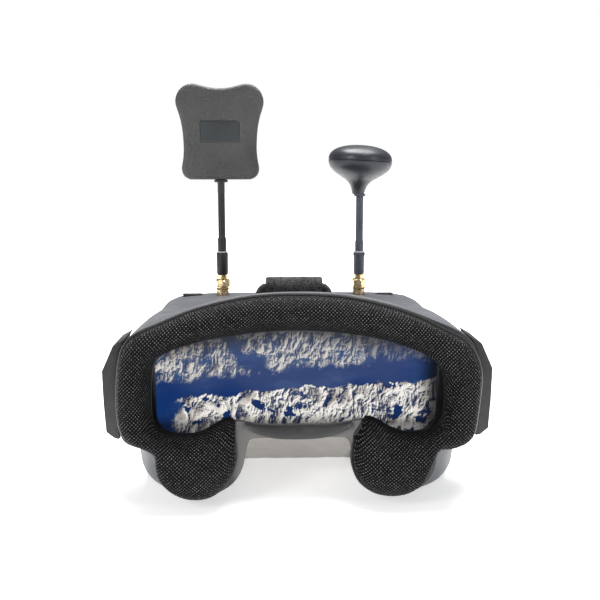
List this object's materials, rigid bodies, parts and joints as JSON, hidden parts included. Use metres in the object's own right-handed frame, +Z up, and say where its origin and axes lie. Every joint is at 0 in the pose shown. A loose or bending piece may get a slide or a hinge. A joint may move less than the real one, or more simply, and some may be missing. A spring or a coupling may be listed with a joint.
{
  "type": "fpv goggles",
  "caption": "Box goggles with a foam face pad, one wide lens, a pull-off display and receiver module, and two screw-on antennas, one a flat panel and one mushroom shaped.",
  "frame": {"origin": "on the floor, under the middle of the whole object's bounding box", "axes": "+Z up; +Y forward, away from the wearer's face, so the face pad is at -Y; +X to the wearer's right"},
  "size_m": [0.177, 0.1569, 0.196],
  "materials": {
    "case_plastic": "satin moulded ABS with a fine spark-eroded grain, bluish charcoal",
    "dark_plastic": "satin black moulded plastic",
    "gloss_plastic": "glossy blue-black moulded plastic",
    "mesh_foam": "soft foam under black woven air mesh",
    "webbing": "fuzzy loop side of black hook-and-loop webbing",
    "soft_rubber": "matt black rubber",
    "gold_plate": "gold plated, lightly polished",
    "brass_insert": "machined brass",
    "steel": "plain tinned or zinc plated steel",
    "circuit_board": "green solder mask on glass fibre board",
    "lens_plastic": "clear acrylic with fine fresnel rings on one face",
    "display_face": "glossy display glass",
    "battery_wrap": "blue heat-shrink wrap"
  },
  "bodies": {
    "shroud": {"shroud_shell": "case_plastic", "face_plate": "dark_plastic", "face_pad": "mesh_foam", "nose_flap": "soft_rubber", "strap_lug_left": "dark_plastic", "strap_lug_right": "dark_plastic", "strap_bridge": "dark_plastic", "lens_frame": "dark_plastic", "fresnel_lens": "lens_plastic"},
    "strap_loop": {"top_strap_loop": "webbing"},
    "module": {"module_rear_case": "case_plastic", "module_front_case": "case_plastic", "light_seal": "soft_rubber", "case_screw_left_low": "steel", "case_screw_left_top": "steel", "case_screw_right_low": "steel", "case_screw_right_top": "steel", "display_panel": "display_face", "backlight_unit": "steel", "main_board": "circuit_board", "receiver_can_left": "steel", "receiver_can_right": "steel", "pigtail_left": "soft_rubber", "pigtail_right": "soft_rubber", "battery": "battery_wrap", "buzzer": "soft_rubber", "key_board": "circuit_board", "switch_body": "steel", "card_socket": "steel", "antenna_jack_left": "gold_plate", "antenna_jack_right": "gold_plate", "usb_port": "steel", "earphone_jack": "dark_plastic", "video_jack": "dark_plastic", "power_jack": "dark_plastic", "tripod_insert": "brass_insert"},
    "power_slider": {"switch_slider": "dark_plastic"},
    "card": {"memory_card": "dark_plastic"},
    "key_channel": {"button_channel": "dark_plastic"},
    "key_band": {"button_band": "dark_plastic"},
    "key_search": {"button_search": "dark_plastic"},
    "key_menu": {"button_menu": "dark_plastic"},
    "key_record": {"button_record": "dark_plastic"},
    "panel_antenna": {"panel_rear_cover": "dark_plastic", "panel_front_cover": "dark_plastic", "panel_patch_board": "circuit_board", "panel_antenna_stem": "dark_plastic"},
    "panel_nut": {"panel_antenna_nut": "gold_plate"},
    "mushroom_antenna": {"mushroom_cap_top": "gloss_plastic", "mushroom_cap_bottom": "gloss_plastic", "mushroom_element": "steel", "mushroom_antenna_stem": "gloss_plastic"},
    "mushroom_nut": {"mushroom_antenna_nut": "gold_plate"}
  },
  "joints": [
    {"name": "module_release", "type": "slide", "parent": "shroud", "child": "module", "axis": [0, 1, 0], "range_m": [0, 0.03]},
    {"name": "strap_loop_swing", "type": "hinge", "parent": "shroud", "child": "strap_loop", "pos_m": [0, 0.02715, 0.0854], "axis": [1, 0, 0], "range_deg": [-45, 45]},
    {"name": "panel_antenna_turn", "type": "hinge", "parent": "module", "child": "panel_antenna", "pos_m": [-0.0411, 0.06015, 0.0846], "axis": [0, 0, 1], "continuous": true},
    {"name": "panel_nut_turn", "type": "hinge", "parent": "module", "child": "panel_nut", "pos_m": [-0.0411, 0.06015, 0.0816], "axis": [0, 0, 1], "continuous": true},
    {"name": "mushroom_antenna_turn", "type": "hinge", "parent": "module", "child": "mushroom_antenna", "pos_m": [0.0393, 0.06015, 0.0846], "axis": [0, 0, 1], "continuous": true},
    {"name": "mushroom_nut_turn", "type": "hinge", "parent": "module", "child": "mushroom_nut", "pos_m": [0.0393, 0.06015, 0.0816], "axis": [0, 0, 1], "continuous": true},
    {"name": "power_switch_slide", "type": "slide", "parent": "module", "child": "power_slider", "axis": [1, 0, 0], "range_m": [0, 0.0058]},
    {"name": "memory_card_slide", "type": "slide", "parent": "module", "child": "card", "axis": [-1, 0, 0], "range_m": [0, 0.012]},
    {"name": "press_channel", "type": "slide", "parent": "module", "child": "key_channel", "axis": [-1, 0, 0], "range_m": [0, 0.0012], "stiffness_N_per_m": 200},
    {"name": "press_band", "type": "slide", "parent": "module", "child": "key_band", "axis": [-1, 0, 0], "range_m": [0, 0.0012], "stiffness_N_per_m": 200},
    {"name": "press_search", "type": "slide", "parent": "module", "child": "key_search", "axis": [-1, 0, 0], "range_m": [0, 0.0012], "stiffness_N_per_m": 200},
    {"name": "press_menu", "type": "slide", "parent": "module", "child": "key_menu", "axis": [-1, 0, 0], "range_m": [0, 0.0012], "stiffness_N_per_m": 200},
    {"name": "press_record", "type": "slide", "parent": "module", "child": "key_record", "axis": [-1, 0, 0], "range_m": [0, 0.0012], "stiffness_N_per_m": 200}
  ]
}
